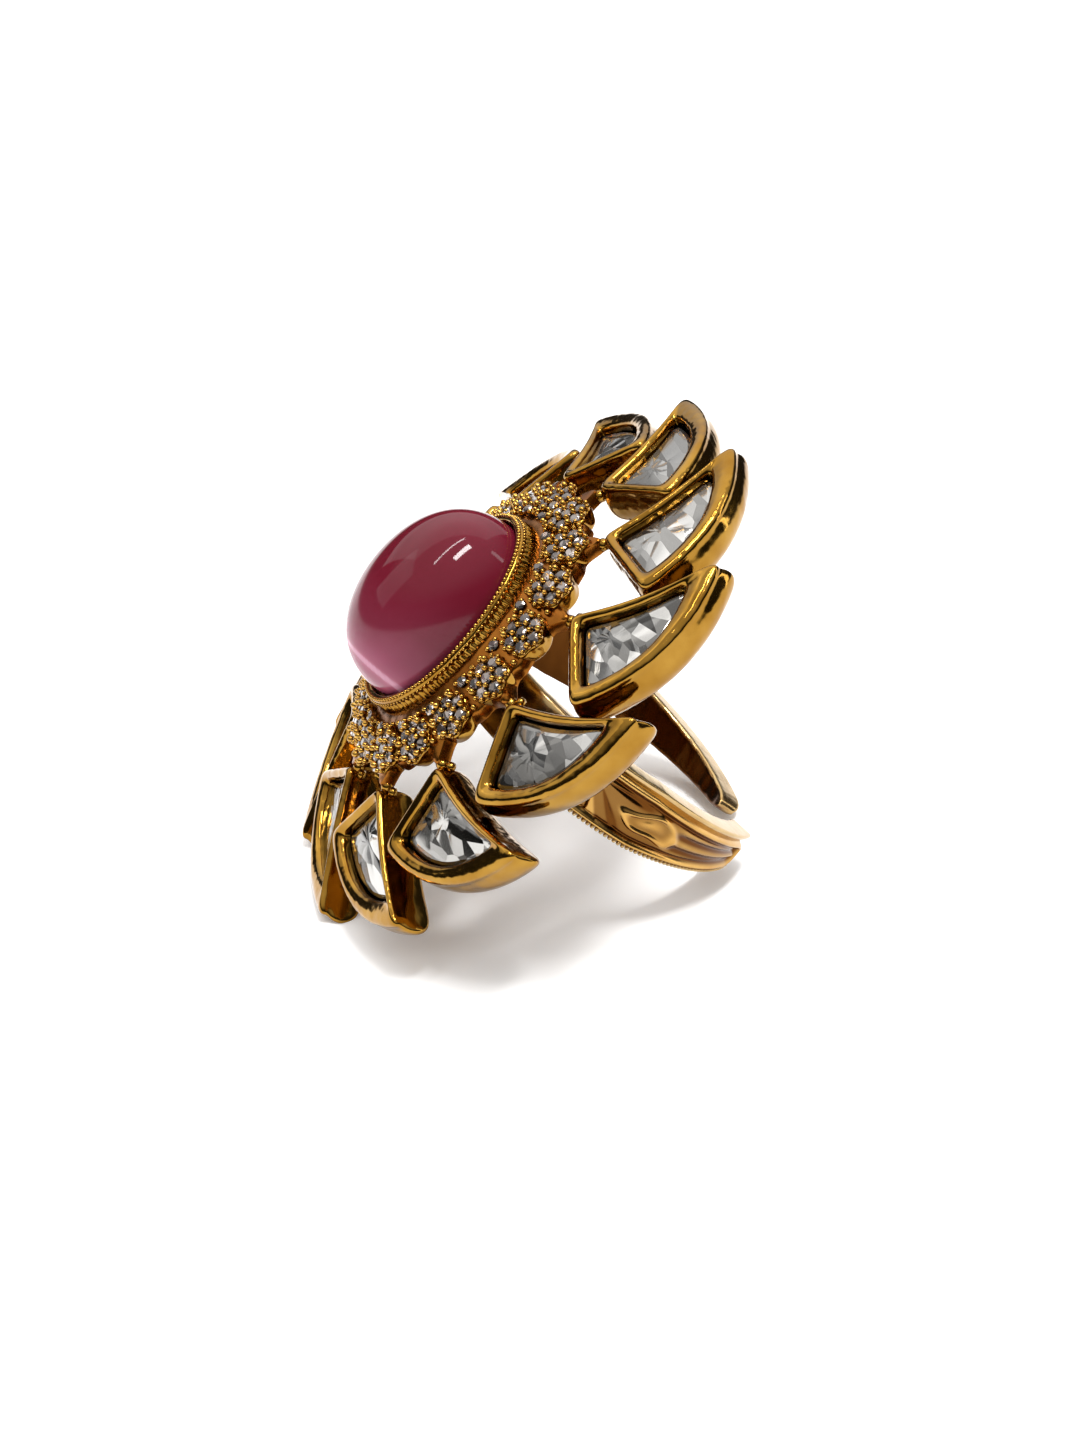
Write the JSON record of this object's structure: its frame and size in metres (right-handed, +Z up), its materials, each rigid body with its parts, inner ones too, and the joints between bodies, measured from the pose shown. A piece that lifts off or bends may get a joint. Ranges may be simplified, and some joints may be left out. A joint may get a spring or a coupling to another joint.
{
  "type": "cocktail ring",
  "caption": "Gold cocktail ring with a domed oval pink cabochon, paved rosettes, a pinwheel of flat crystal petals and an open adjustable shank.",
  "frame": {"origin": "on the surface the ring lies on, under the middle of its bounding box", "axes": "+Z up as the ring lies on its side; +Y across the finger; the finger's axis rises between +X and +Z"},
  "size_m": [0.0264, 0.0326, 0.0255],
  "materials": {
    "polished_gold": "polished deep yellow gold plating",
    "pale_gold": "rubbed pale gold plating",
    "pink_glass": "pink cat's-eye glass, high polish",
    "foiled_crystal": "flat cut crystal over silver foil",
    "pave_stone": "small round brilliants"
  },
  "bodies": {
    "head": {"cabochon": "pink_glass", "cabochon_bezel": "polished_gold", "gallery": "polished_gold", "petal_crystal_01": "foiled_crystal", "petal_crystal_02": "foiled_crystal", "petal_crystal_03": "foiled_crystal", "petal_crystal_04": "foiled_crystal", "petal_crystal_05": "foiled_crystal", "petal_crystal_06": "foiled_crystal", "petal_crystal_07": "foiled_crystal", "petal_crystal_08": "foiled_crystal", "petal_crystal_09": "foiled_crystal", "petal_crystal_10": "foiled_crystal", "petal_crystal_11": "foiled_crystal", "petal_crystal_12": "foiled_crystal", "petal_cup_01": "polished_gold", "petal_cup_02": "polished_gold", "petal_cup_03": "polished_gold", "petal_cup_04": "polished_gold", "petal_cup_05": "polished_gold", "petal_cup_06": "polished_gold", "petal_cup_07": "polished_gold", "petal_cup_08": "polished_gold", "petal_cup_09": "polished_gold", "petal_cup_10": "polished_gold", "petal_cup_11": "polished_gold", "petal_cup_12": "polished_gold", "rosette_stones_01": "pave_stone", "rosette_stones_02": "pave_stone", "rosette_stones_03": "pave_stone", "rosette_stones_04": "pave_stone", "rosette_stones_05": "pave_stone", "rosette_stones_06": "pave_stone", "rosette_stones_07": "pave_stone", "rosette_stones_08": "pave_stone", "rosette_stones_09": "pave_stone", "rosette_stones_10": "pave_stone", "rosette_stones_11": "pave_stone", "rosette_stones_12": "pave_stone", "rosette_stones_13": "pave_stone", "rosette_stones_14": "pave_stone", "rosette_stones_15": "pave_stone", "rosette_stones_16": "pave_stone", "rosette_stones_17": "pave_stone", "rosette_stones_18": "pave_stone", "shank_bridge": "pale_gold"},
    "near_arm": {"near_arm_band": "pale_gold", "near_arm_panel": "polished_gold"},
    "far_arm": {"far_arm_band": "pale_gold", "far_arm_panel": "polished_gold"}
  },
  "joints": [
    {"name": "near_arm_flex", "type": "hinge", "parent": "head", "child": "near_arm", "pos_m": [-0.0008, -0.00725, 0.01213], "axis": [0.6595, -0.0435, 0.7504], "range_deg": [-5, 3]},
    {"name": "far_arm_flex", "type": "hinge", "parent": "head", "child": "far_arm", "pos_m": [-0.00035, 0.0073, 0.01257], "axis": [0.6595, -0.0435, 0.7504], "range_deg": [-3, 5]}
  ]
}
